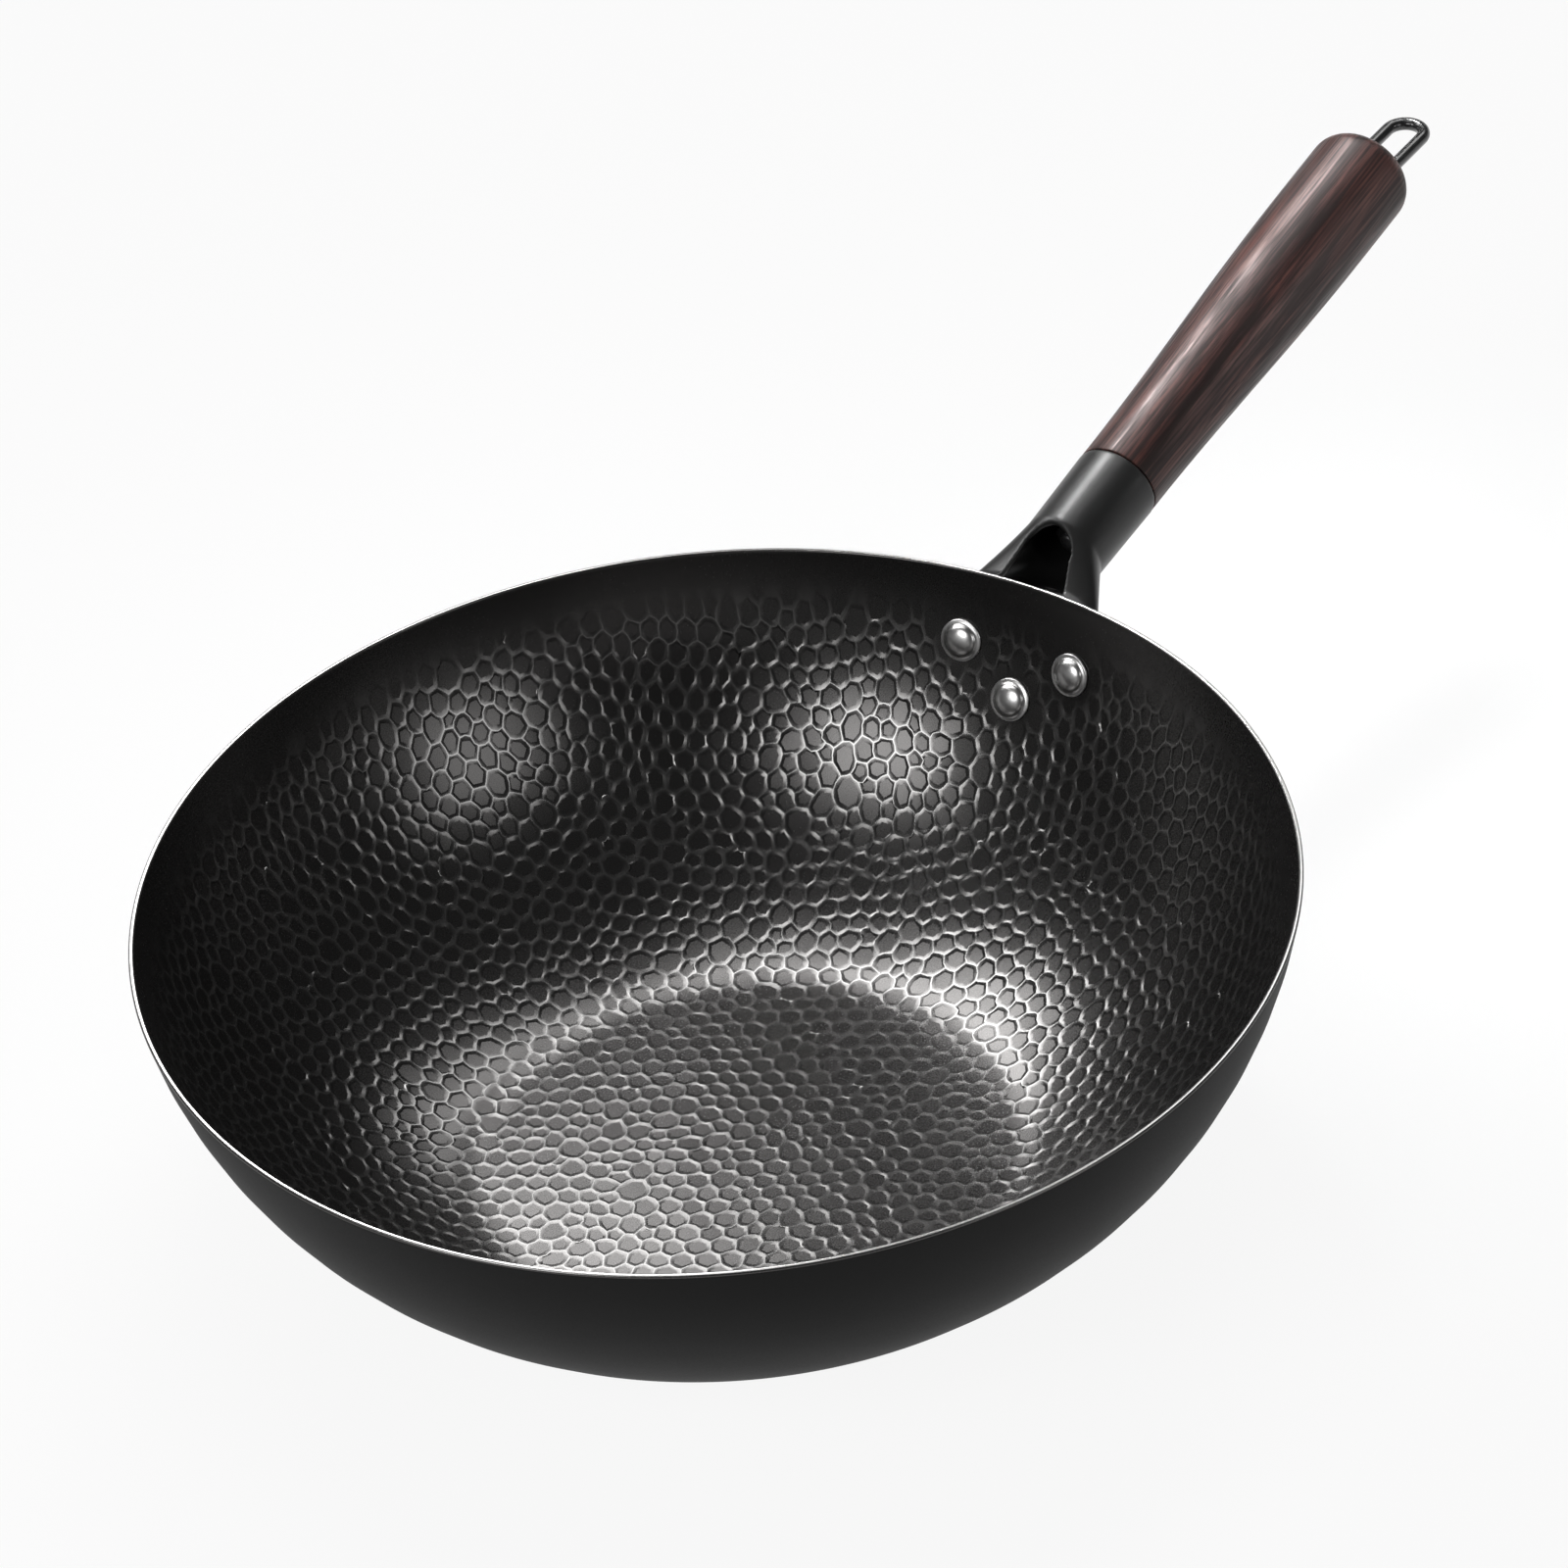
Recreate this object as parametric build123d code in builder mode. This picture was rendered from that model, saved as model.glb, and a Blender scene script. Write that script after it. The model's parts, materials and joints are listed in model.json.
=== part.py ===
from build123d import *
import math
import os

# Carbon steel wok: a pressed bowl, a riveted handle bracket, a turned wooden grip on a tie rod,
# and a wire hanging loop that swings in the rod's eye.
# Millimetres. The origin is the centre of the flat base on the surface it rests on, +X runs along
# the handle, +Z is up, and the XZ plane is the plane of symmetry.

# Bowl
rim_radius = 160.0
bowl_height = 97.3
base_radius = 78.2  # where the flat base and the wall would meet without their blend
wall_arc_radius = 126.0
sheet_thickness = 1.5
floor_blend_radius = 40.0
rim_edge_radius = 0.45

# Rivets
rivet_upper_drop = 21.7  # below the rim
rivet_lower_drop = 34.3
rivet_spacing = 37.6
rivet_shank_radius = 3.0
rivet_hole_clearance = 0.05
rivet_brim_radius = 6.4
rivet_brim_thickness = 0.7
rivet_dome_radius = 4.8
rivet_dome_height = 2.5
rivet_tail_radius = 5.0
rivet_tail_height = 2.2

# Handle line, on which the sleeve, the grip and the rod lie
handle_rise = 9.9  # degrees above level
handle_axis_drop = 4.4  # from the rim's top down to the line, at the rim's edge

# Bracket, with its places measured along the handle line from above the rim's edge
seat_gap = 0.05
flange_thickness = 2.2
flange_lobe_radius = 9.0
flange_shoulder_drop = 11.8
flange_shoulder_spacing = 30.0
fork_start = 20.0
fork_foot_reach = 3.5  # level, out from the rim's edge
fork_foot_drop = 8.1
fork_foot_half_width = 21.4
fork_foot_half_height = 7.5
fork_wall = 2.2
arch_apex = 19.2
underside_apex = 13.0
arch_radius = 8.0
arch_mouth_half_width = 14.0
sleeve_front_radius = 12.6
sleeve_end_radius = 13.1
sleeve_end = 50.5
sleeve_bore_radius = 10.7
web_front = 33.0
web_thickness = 3.0
sleeve_edge_chamfer = 0.35

# Grip
grip_end = 202.3
seam_gap = 0.3
tenon_clearance = 0.1
grip_waist_radius = 13.0
grip_middle_radius = 14.3
grip_palm_radius = 16.1
grip_end_flat_radius = 8.5
grip_bore_clearance = 0.25

# Hanging loop and its slot in the butt end
wire_radius = 2.0
loop_half_width = 5.9
loop_length = 36.5
loop_corner_radius = 3.0
loop_droop = 8.5  # degrees below the handle line, where it rests on the slot's lower lip
pivot_depth = 9.0
slot_lip_gap = 0.25
slot_side_clearance = 0.5
slot_corner_radius = 1.2

# Tie rod and its nut
rod_radius = 3.0
rod_tip_chamfer = 0.6
rod_tip_overhang = 2.5
eye_clearance = 0.1
eye_wall = 1.2
eye_width = 5.0
end_clearance = 0.3
washer_radius = 6.5
washer_thickness = 1.4
washer_clearance = 0.2
spring_washer_radius = 5.2
spring_washer_thickness = 1.5
spring_washer_split = 0.8
nut_across_flats = 10.0
nut_thickness = 5.0
nut_chamfer = 0.5
thread_gap = 0.04

overrun = 5.0

# Shares along the grip, from the seam to the butt end
grip_middle_share = 0.36
grip_palm_share = 0.86

# Heights of what hangs on the wall, down from the rim
rivet_upper_height = bowl_height - rivet_upper_drop
rivet_lower_height = bowl_height - rivet_lower_drop
handle_axis_height = bowl_height - handle_axis_drop
flange_shoulder_height = bowl_height - flange_shoulder_drop
fork_foot_height = bowl_height - fork_foot_drop
fork_foot_x = rim_radius + fork_foot_reach

# The wall's arc: its chord from the base to the rim fixes its centre and its slope at each end
chord_length = math.hypot(rim_radius - base_radius, bowl_height)
chord_slope = math.atan2(bowl_height, rim_radius - base_radius)
base_slope = chord_slope - math.asin(chord_length / (2 * wall_arc_radius))
arc_centre_radius = base_radius - wall_arc_radius * math.sin(base_slope)
arc_centre_height = wall_arc_radius * math.cos(base_slope)


def wall_plane(height, across):
    """Plane that touches the outer wall at a height and a distance across, its Z pointing out of the bowl."""
    slope = math.acos((arc_centre_height - height) / wall_arc_radius)
    radius = arc_centre_radius + wall_arc_radius * math.sin(slope)
    turn = math.asin(across / radius)
    outwards = (math.sin(slope) * math.cos(turn), math.sin(slope) * math.sin(turn), -math.cos(slope))
    place = (radius * math.cos(turn), radius * math.sin(turn), height)
    return Plane(origin=place, x_dir=(-math.sin(turn), math.cos(turn), 0), z_dir=outwards)


rivet_seats = {
    "rivet_left": wall_plane(rivet_upper_height, rivet_spacing / 2),
    "rivet_right": wall_plane(rivet_upper_height, -rivet_spacing / 2),
    "rivet_lower": wall_plane(rivet_lower_height, 0),
}

# Planes of the handle line: across it, along it from the side, and along it from above
rise = math.radians(handle_rise)
along = Vector(math.cos(rise), 0, math.sin(rise))
upwards = Vector(-math.sin(rise), 0, math.cos(rise))
handle_origin = Vector(rim_radius, 0, handle_axis_height)
handle_across = Plane(origin=handle_origin, x_dir=(0, 1, 0), z_dir=along)
handle_side = Plane(origin=handle_origin, x_dir=along, z_dir=(0, -1, 0))
handle_above = Plane(origin=handle_origin, x_dir=along, z_dir=upwards)
handle_axis = Axis(handle_origin, along)

# Places along the handle line
web_back = web_front + web_thickness
tenon_end = web_back + end_clearance
pivot_place = grip_end - pivot_depth
grip_shoulder_radius = grip_palm_radius - grip_end_flat_radius
eye_radius = wire_radius + eye_clearance + eye_wall
slot_depth = pivot_depth + eye_radius + end_clearance
slot_half_length = loop_half_width + wire_radius + slot_side_clearance
lowest_angle = math.radians(loop_droop)
slot_half_height = pivot_depth * math.tan(lowest_angle) + wire_radius / math.cos(lowest_angle) + slot_lip_gap
spring_washer_front = web_front - washer_thickness
nut_front = spring_washer_front - spring_washer_thickness
rod_tip = nut_front - nut_thickness - rod_tip_overhang
grip_start = sleeve_end + seam_gap
grip_length = grip_end - grip_start
parts = []


def finish(piece, label):
    piece.part.label = label
    parts.append(piece.part)


# Wok bowl: the outer shape is turned from its section, then hollowed to the sheet's thickness
with BuildPart() as wok_bowl:
    with BuildSketch(Plane.XZ) as bowl_section:
        with BuildLine():
            base_line = Line((0, 0), (base_radius, 0))
            wall_line = RadiusArc(base_line @ 1, (rim_radius, bowl_height), -wall_arc_radius)
            Polyline(wall_line @ 1, (0, bowl_height), (0, 0))
        make_face()
        base_corner = bowl_section.vertices().group_by(Axis.Y)[0].sort_by(Axis.X)[-1]
        fillet(base_corner, radius=floor_blend_radius + sheet_thickness)
    revolve(axis=Axis.Z)
    offset(amount=-sheet_thickness, openings=wok_bowl.faces().sort_by(Axis.Z)[-1])
    rim_edges = wok_bowl.edges().group_by(Axis.Z)[-1]
    fillet(rim_edges, radius=rim_edge_radius)
    for seat in rivet_seats.values():
        with BuildSketch(seat.offset(overrun)):
            Circle(rivet_shank_radius + rivet_hole_clearance)
        extrude(amount=-3 * overrun, mode=Mode.SUBTRACT)
finish(wok_bowl, "wok_bowl")


# Rivets: a brimmed dome inside the bowl, a shank through wall and flange, a tail formed over the flange
def rivet(seat):
    head_sag = rivet_brim_radius**2 / (2 * (wall_arc_radius - sheet_thickness))
    brim_top = -sheet_thickness - head_sag - seat_gap
    dome_foot = brim_top - rivet_brim_thickness
    dome_top = brim_top - rivet_dome_height
    tail_foot = seat_gap + flange_thickness + seat_gap
    tail_top = tail_foot + rivet_tail_height
    section = Plane(origin=seat.origin, x_dir=seat.x_dir, z_dir=-seat.y_dir)
    with BuildPart() as piece:
        with BuildSketch(section):
            with BuildLine():
                dome = TangentArc((0, dome_top), (rivet_dome_radius, dome_foot), tangent=(1, 0))
                Polyline(
                    dome @ 1,
                    (rivet_brim_radius, dome_foot),
                    (rivet_brim_radius, brim_top),
                    (rivet_shank_radius, brim_top),
                    (rivet_shank_radius, tail_foot),
                    (rivet_tail_radius, tail_foot),
                )
                tail = TangentArc((0, tail_top), (rivet_tail_radius, tail_foot), tangent=(1, 0))
                Line(tail @ 0, dome @ 0)
            make_face()
        revolve(axis=Axis(seat.origin, seat.z_dir))
    return piece


for label, seat in rivet_seats.items():
    finish(rivet(seat), label)


def wall_disc(skin):
    """The disc inside the wall's arc, grown by a skin, kept to the side where the wall is."""
    with Locations((arc_centre_radius, arc_centre_height)):
        Circle(wall_arc_radius + skin)
    with Locations((rim_radius, 0)):
        Rectangle(2 * rim_radius, 2 * bowl_height, mode=Mode.INTERSECT)


# Riveting flange: a plate that follows the wall, with an outline drawn round the rivets and the legs' feet
with BuildPart() as flange_plate:
    with BuildSketch(Plane.XZ) as flange_ring:
        wall_disc(seat_gap + flange_thickness)
        with Locations((arc_centre_radius, arc_centre_height)):
            Circle(wall_arc_radius + seat_gap, mode=Mode.SUBTRACT)
        with Locations((rim_radius, bowl_height / 2)):
            Rectangle(rim_radius, bowl_height, mode=Mode.INTERSECT)
    revolve(axis=Axis.Z)
    with BuildSketch(Plane.YZ) as shield:
        with Locations(
            (rivet_spacing / 2, rivet_upper_height),
            (-rivet_spacing / 2, rivet_upper_height),
            (0, rivet_lower_height),
            (flange_shoulder_spacing / 2, flange_shoulder_height),
            (-flange_shoulder_spacing / 2, flange_shoulder_height),
        ):
            Circle(flange_lobe_radius)
        make_hull()
    extrude(amount=rim_radius + flange_lobe_radius, mode=Mode.INTERSECT)
    for seat in rivet_seats.values():
        with BuildSketch(seat.offset(overrun)):
            Circle(rivet_shank_radius + rivet_hole_clearance)
        extrude(amount=-3 * overrun, mode=Mode.SUBTRACT)

# Fork: the sleeve's round mouth flares and flattens towards the wall, hollow, with an arch cut through it
fork_reach = 2 * sleeve_front_radius
fork_foot = Plane(origin=(fork_foot_x, 0, fork_foot_height), x_dir=(0, 1, 0), z_dir=(1, 0, 0))
with BuildPart() as fork:
    for shrink, mode in ((0, Mode.ADD), (fork_wall, Mode.SUBTRACT)):
        with BuildSketch(handle_across.offset(fork_start)):
            Circle(sleeve_front_radius - shrink)
        with BuildSketch(fork_foot):
            Ellipse(fork_foot_half_width - shrink, fork_foot_half_height - shrink)
        loft(ruled=True, mode=mode)
        with BuildSketch(fork_foot):
            Ellipse(fork_foot_half_width - shrink, fork_foot_half_height - shrink)
        extrude(amount=-2 * overrun, mode=mode)
    for apex, reach in ((arch_apex, fork_reach), (underside_apex, -fork_reach)):
        with BuildSketch(handle_above):
            with BuildLine():
                arch = ThreePointArc(
                    (apex - arch_radius, -arch_radius),
                    (apex, 0),
                    (apex - arch_radius, arch_radius),
                )
                Polyline(
                    arch @ 1,
                    (-2 * overrun, arch_mouth_half_width),
                    (-2 * overrun, -arch_mouth_half_width),
                    arch @ 0,
                )
            make_face()
        extrude(amount=reach, mode=Mode.SUBTRACT)
    with BuildSketch(Plane.XZ):
        wall_disc(seat_gap)
    revolve(axis=Axis.Z, mode=Mode.SUBTRACT)

# Handle bracket: flange, fork and a tapered sleeve with a web across it for the tie rod
with BuildPart() as handle_bracket:
    with BuildSketch(handle_side):
        with BuildLine():
            Polyline(
                (fork_start, sleeve_front_radius),
                (sleeve_end - sleeve_edge_chamfer, sleeve_end_radius),
                (sleeve_end, sleeve_end_radius - sleeve_edge_chamfer),
                (sleeve_end, sleeve_bore_radius),
                (web_back, sleeve_bore_radius),
                (web_back, rod_radius + grip_bore_clearance),
                (web_front, rod_radius + grip_bore_clearance),
                (web_front, sleeve_front_radius - fork_wall),
                (fork_start, sleeve_front_radius - fork_wall),
                close=True,
            )
        make_face()
    revolve(axis=handle_axis)
    add(fork.part)
    add(flange_plate.part)
finish(handle_bracket, "handle_bracket")

# Wood grip: turned, with a tenon in the sleeve, a bore for the rod and a slot for the loop
with BuildPart() as wood_grip:
    with BuildSketch(handle_side):
        with BuildLine():
            side_end = (grip_end - grip_shoulder_radius, grip_palm_radius)
            side = Spline(
                (grip_start, grip_waist_radius),
                (grip_start + grip_length * grip_middle_share, grip_middle_radius),
                (grip_start + grip_length * grip_palm_share, grip_palm_radius),
                side_end,
                tangents=((1, 0), (1, 0)),
            )
            shoulder = ThreePointArc(
                side_end,
                (
                    grip_end - grip_shoulder_radius * (1 - math.sqrt(0.5)),
                    grip_end_flat_radius + (grip_palm_radius - grip_end_flat_radius) * math.sqrt(0.5),
                ),
                (grip_end, grip_end_flat_radius),
            )
            Polyline(
                shoulder @ 1,
                (grip_end, 0),
                (tenon_end, 0),
                (tenon_end, sleeve_bore_radius - tenon_clearance),
                (grip_start, sleeve_bore_radius - tenon_clearance),
                side @ 0,
            )
        make_face()
    revolve(axis=handle_axis)
    with BuildSketch(handle_across.offset(grip_end + overrun)):
        RectangleRounded(2 * slot_half_length, 2 * slot_half_height, slot_corner_radius)
    extrude(amount=-slot_depth - overrun, mode=Mode.SUBTRACT)
    with BuildSketch(handle_across.offset(grip_end)):
        Circle(rod_radius + grip_bore_clearance)
    extrude(amount=tenon_end - grip_end - overrun, mode=Mode.SUBTRACT)
finish(wood_grip, "wood_grip")

# Tie rod: a long shank, drawn up by the nut, with a flat-sided eye for the loop
with BuildPart() as tie_rod:
    with BuildSketch(handle_across.offset(rod_tip)):
        Circle(rod_radius)
    extrude(amount=pivot_place - rod_tip)
    tip_edge = tie_rod.edges().group_by(Axis.X)[0]
    chamfer(tip_edge, length=rod_tip_chamfer)
    with BuildSketch(handle_side.offset(-eye_width / 2)):
        with Locations((pivot_place, 0)):
            Circle(eye_radius)
    extrude(amount=eye_width)
    with BuildSketch(handle_side.offset(-eye_width)):
        with Locations((pivot_place, 0)):
            Circle(wire_radius + eye_clearance)
    extrude(amount=2 * eye_width, mode=Mode.SUBTRACT)
finish(tie_rod, "tie_rod")

# Flat washer on the web
with BuildPart() as flat_washer:
    with BuildSketch(handle_across.offset(spring_washer_front)):
        Circle(washer_radius)
        Circle(rod_radius + washer_clearance, mode=Mode.SUBTRACT)
    extrude(amount=washer_thickness)
finish(flat_washer, "flat_washer")

# Spring washer, split at the top
with BuildPart() as spring_washer:
    with BuildSketch(handle_across.offset(nut_front)):
        Circle(spring_washer_radius)
        Circle(rod_radius + washer_clearance, mode=Mode.SUBTRACT)
        with Locations((0, -spring_washer_radius)):
            Rectangle(spring_washer_split, 2 * spring_washer_radius, mode=Mode.SUBTRACT)
    extrude(amount=spring_washer_thickness)
finish(spring_washer, "spring_washer")

# Rod nut, a hexagon with its corners turned off
with BuildPart() as rod_nut:
    with BuildSketch(handle_across.offset(nut_front - nut_thickness)):
        RegularPolygon(nut_across_flats / 2, 6, major_radius=False)
        Circle(rod_radius + thread_gap, mode=Mode.SUBTRACT)
    extrude(amount=nut_thickness)
    with BuildSketch(handle_side):
        with BuildLine():
            corner_radius = nut_across_flats / math.sqrt(3)
            Polyline(
                (nut_front - nut_thickness, 0),
                (nut_front - nut_thickness, nut_across_flats / 2),
                (nut_front - nut_thickness + nut_chamfer, corner_radius),
                (nut_front, corner_radius),
                (nut_front, 0),
                close=True,
            )
        make_face()
    revolve(axis=handle_axis, mode=Mode.INTERSECT)
finish(rod_nut, "rod_nut")

# Hanging loop: one closed wire, its bar through the eye and its legs along the drooping direction
droop = math.radians(handle_rise - loop_droop)
loop_along = Vector(math.cos(droop), 0, math.sin(droop))
loop_upwards = Vector(-math.sin(droop), 0, math.cos(droop))
loop_plane = Plane(origin=handle_origin + along * pivot_place, x_dir=loop_along, z_dir=loop_upwards)
with BuildPart() as hanging_loop:
    with BuildLine(loop_plane) as loop_path:
        bar = Line((0, -loop_half_width + loop_corner_radius), (0, loop_half_width - loop_corner_radius))
        turn_left = TangentArc(bar @ 1, (loop_corner_radius, loop_half_width), tangent=bar % 1)
        leg_left = Line(turn_left @ 1, (loop_length - loop_half_width, loop_half_width))
        bow = TangentArc(leg_left @ 1, (loop_length - loop_half_width, -loop_half_width), tangent=leg_left % 1)
        leg_right = Line(bow @ 1, (loop_corner_radius, -loop_half_width))
        TangentArc(leg_right @ 1, bar @ 0, tangent=leg_right % 1)
    with BuildSketch(Plane(origin=leg_left @ 0.5, z_dir=leg_left % 0.5)):
        Circle(wire_radius)
    sweep(path=loop_path.wires()[0])
finish(hanging_loop, "hanging_loop")

os.makedirs("parts", exist_ok=True)
for part in parts:
    export_step(part, "parts/" + part.label + ".step")
    print(part.label, round(part.volume, 1), "mm3")
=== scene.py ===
# %% [markdown]
# # Dressing a carbon steel wok
# The frame holds the wok as a maker would build it: a pressed bowl, a riveted bracket, a turned grip on
# a tie rod, and a wire loop that swings. This lesson gives those pieces their looks. The bowl gets its
# hammered inside, the grip its grain, and every metal its own finish. Everything is in metres, in the
# frame's own axes: +X runs along the handle and +Z is up.

# %% Load the frame
import json
import math

import bpy
import numpy as np
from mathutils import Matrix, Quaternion, Vector
from mathutils.geometry import delaunay_2d_cdt

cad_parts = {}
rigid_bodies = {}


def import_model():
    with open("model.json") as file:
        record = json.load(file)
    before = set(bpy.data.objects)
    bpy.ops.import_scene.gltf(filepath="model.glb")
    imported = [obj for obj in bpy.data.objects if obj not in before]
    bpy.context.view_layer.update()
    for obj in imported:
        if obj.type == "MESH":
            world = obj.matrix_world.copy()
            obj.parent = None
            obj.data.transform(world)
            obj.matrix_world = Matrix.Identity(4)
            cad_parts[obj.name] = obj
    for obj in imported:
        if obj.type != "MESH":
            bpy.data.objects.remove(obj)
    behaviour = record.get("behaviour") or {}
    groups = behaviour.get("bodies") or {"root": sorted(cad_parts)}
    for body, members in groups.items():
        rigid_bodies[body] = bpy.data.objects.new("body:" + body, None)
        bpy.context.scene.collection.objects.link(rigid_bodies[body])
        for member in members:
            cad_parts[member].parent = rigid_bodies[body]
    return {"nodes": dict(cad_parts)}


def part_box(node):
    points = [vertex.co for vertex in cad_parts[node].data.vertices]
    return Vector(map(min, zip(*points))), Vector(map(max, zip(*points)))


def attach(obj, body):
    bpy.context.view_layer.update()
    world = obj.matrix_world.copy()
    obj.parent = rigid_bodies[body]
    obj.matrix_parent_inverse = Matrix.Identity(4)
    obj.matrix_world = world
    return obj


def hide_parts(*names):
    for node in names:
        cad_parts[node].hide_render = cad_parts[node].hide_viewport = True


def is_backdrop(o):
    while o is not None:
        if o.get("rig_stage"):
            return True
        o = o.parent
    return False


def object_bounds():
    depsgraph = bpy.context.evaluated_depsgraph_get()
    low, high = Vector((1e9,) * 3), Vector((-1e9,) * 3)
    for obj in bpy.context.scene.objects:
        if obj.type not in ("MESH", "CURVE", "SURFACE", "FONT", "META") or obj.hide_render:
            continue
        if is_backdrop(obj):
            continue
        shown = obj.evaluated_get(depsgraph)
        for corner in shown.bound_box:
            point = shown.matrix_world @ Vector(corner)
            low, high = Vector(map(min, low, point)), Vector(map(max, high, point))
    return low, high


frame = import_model()
cad_low, cad_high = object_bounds()
MM = 0.001
print("frame:", sorted(frame["nodes"]), "box", tuple(cad_low), tuple(cad_high))

# %% [markdown]
# ## Camera
# The photograph looks down into the bowl from the front left of the handle, from far away with a long
# lens, and the camera is tipped a little. A view is easiest to keep as the point it aims at, two
# angles, a distance and a roll, because each can be corrected without disturbing the others.

# %% Camera
view_heading = math.radians(37.355)
view_drop = math.radians(36.78)
view_roll = math.radians(-5.73)
view_distance = 1.789
view_lens = 146.25
aim = Vector((0.0625, 0.0203, 0.0828))


def direction(heading, height):
    """The unit vector at a heading round the up axis and a height above level, both angles in radians."""
    level = math.cos(height)
    return Vector((level * math.cos(heading), level * math.sin(heading), math.sin(height)))


forward = direction(view_heading, -view_drop)
camera = bpy.data.objects.new("camera", bpy.data.cameras.new("camera"))
camera.data.lens = view_lens
camera.data.clip_start, camera.data.clip_end = 0.05, 50
camera.rotation_mode = "QUATERNION"
camera.rotation_quaternion = forward.to_track_quat("-Z", "Y") @ Quaternion((0, 0, 1), view_roll)
camera.location = aim - forward * view_distance
scene = bpy.context.scene
scene.collection.objects.link(camera)
scene.camera = camera
print("camera at", tuple(camera.location))

# %% [markdown]
# ## Helpers for surfaces
# Every new piece is a surface worked out as whole arrays: rows of points, and quads between
# neighbouring rows. The sign of a closed shell's volume says whether its faces point out or in, so one
# helper turns every shell the right way round.

# %% Mesh helpers
def signed_volume(points, triangles):
    """A sixth of the sum of each triangle's triple product: positive where the faces point outwards."""
    a, b, c = (points[triangles[:, k]] for k in range(3))
    return np.einsum("ij,ij->i", a, np.cross(b, c)).sum() / 6


def loose_sides(triangles):
    """How many sides lack a partner: a closed shell uses each side twice, once in each direction."""
    sides = np.concatenate([triangles[:, [0, 1]], triangles[:, [1, 2]], triangles[:, [2, 0]]])
    there, back = sides @ (1 << 32, 1), sides @ (1, 1 << 32)
    return len(np.setxor1d(there, back)) + len(there) - len(np.unique(there))


def new_piece(name, points, *face_arrays):
    """A smooth mesh object from an (n, 3) array of points and arrays of triangles or quads."""
    halves = [f if f.shape[1] == 3 else np.concatenate([f[:, :3], f[:, [0, 2, 3]]]) for f in face_arrays]
    triangles = np.concatenate(halves)
    turned = signed_volume(points, triangles) < 0
    faces = [face for f in face_arrays for face in (f[:, ::-1] if turned else f).tolist()]
    mesh = bpy.data.meshes.new(name)
    mesh.from_pydata(points.tolist(), [], faces)
    mesh.shade_smooth()
    piece = bpy.data.objects.new(name, mesh)
    scene.collection.objects.link(piece)
    print(name, "-", len(triangles), "triangles,", loose_sides(triangles), "loose sides")
    return piece


def strip(first, second):
    """Quads between two closed rows of point numbers."""
    return np.stack([first, np.roll(first, -1), np.roll(second, -1), second], axis=1)


def strips(rows, columns, start=0, closed=False):
    """Quads of a grid of rows whose columns close on themselves; closed joins the last row to the first."""
    numbers = start + np.arange(rows * columns).reshape(rows, columns)
    pairs = zip(numbers, np.roll(numbers, -1, axis=0)) if closed else zip(numbers[:-1], numbers[1:])
    return np.concatenate([strip(a, b) for a, b in pairs])


def fan(pole, ring):
    """Triangles from one point to each side of a closed row."""
    return np.stack([np.full(len(ring), pole), ring, np.roll(ring, -1)], axis=1)


def rounded(corners, radii, steps=6):
    """An open outline with arcs for inner corners, each from radius / tan(half its angle) off the corner."""
    corners = np.array(corners, float)
    outline = [corners[:1]]
    for before, corner, after, radius in zip(corners, corners[1:], corners[2:], radii):
        back, on = before - corner, after - corner
        back, on = back / np.linalg.norm(back), on / np.linalg.norm(on)
        half = math.acos(np.clip(back @ on, -1, 1)) / 2
        centre = corner + (back + on) / np.linalg.norm(back + on) * radius / math.sin(half)
        start, end = corner + back * radius / math.tan(half), corner + on * radius / math.tan(half)
        share = np.linspace(0, 1, steps)[:, None]
        chord = start * (1 - share) + end * share - centre
        outline.append(centre + chord / np.linalg.norm(chord, axis=1)[:, None] * radius)
    return np.concatenate([*outline, corners[-1:]])


def even_turns(count):
    """The angles of a closed row of points, in even steps from 0."""
    return np.linspace(0, 2 * math.pi, count, endpoint=False)


def circle_of(turns, first, second):
    """Unit vectors round a circle: the cosine along the first direction and the sine along the second."""
    return np.cos(turns)[:, None] * np.array(first) + np.sin(turns)[:, None] * np.array(second)


def capped(name, rings, poles):
    """A shell of rings, an array of rings by points by 3, closed by a fan to a pole at either end."""
    columns = rings.shape[1]
    numbers = np.arange(rings.shape[0] * columns)
    return new_piece(
        name, np.concatenate([rings.reshape(-1, 3), poles]), strips(len(rings), columns),
        fan(numbers.size, numbers[:columns][::-1]), fan(numbers.size + 1, numbers[-columns:]),
    )


def lathe(name, profile, origin, along, side, columns):
    """Turns (place along, radius) pairs about an axis: origin + along * place + radius * (cos, sin)."""
    circle = circle_of(even_turns(columns), side, along.cross(side))
    rings = np.array(origin) + profile[1:-1, None, :1] * np.array(along) + profile[1:-1, None, 1:] * circle
    return capped(name, rings, np.array(origin) + profile[[0, -1], :1] * np.array(along))


# %% [markdown]
# ## The bowl's section
# The wall is an arc of a large circle. A smaller arc blends it into the flat floor, and the sheet has
# the same thickness all over, so inside and outside share the two centres. Slope is the angle between
# the surface and the floor, and along both arcs the place is the centre plus the radius times the sine
# and cosine of the slope. That makes one function of the distance run along the section.

# %% Section of the bowl
rim_radius = 160 * MM
bowl_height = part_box("wok_bowl")[1].z
base_radius = 78.2 * MM
wall_radius = 126 * MM
sheet = 1.5 * MM
blend_radius = 40 * MM
rim_edge = 0.6 * MM

chord = math.hypot(rim_radius - base_radius, bowl_height)
base_slope = math.atan2(bowl_height, rim_radius - base_radius) - math.asin(chord / (2 * wall_radius))
wall_centre = np.array([
    base_radius - wall_radius * math.sin(base_slope),
    wall_radius * math.cos(base_slope),
])
inner_wall = wall_radius - sheet
blend_height = sheet + blend_radius
between_centres = wall_centre[1] - blend_height
floor_radius = wall_centre[0] + math.sqrt((inner_wall - blend_radius) ** 2 - between_centres**2)
blend_slope = math.atan2(floor_radius - wall_centre[0], between_centres)


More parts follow.
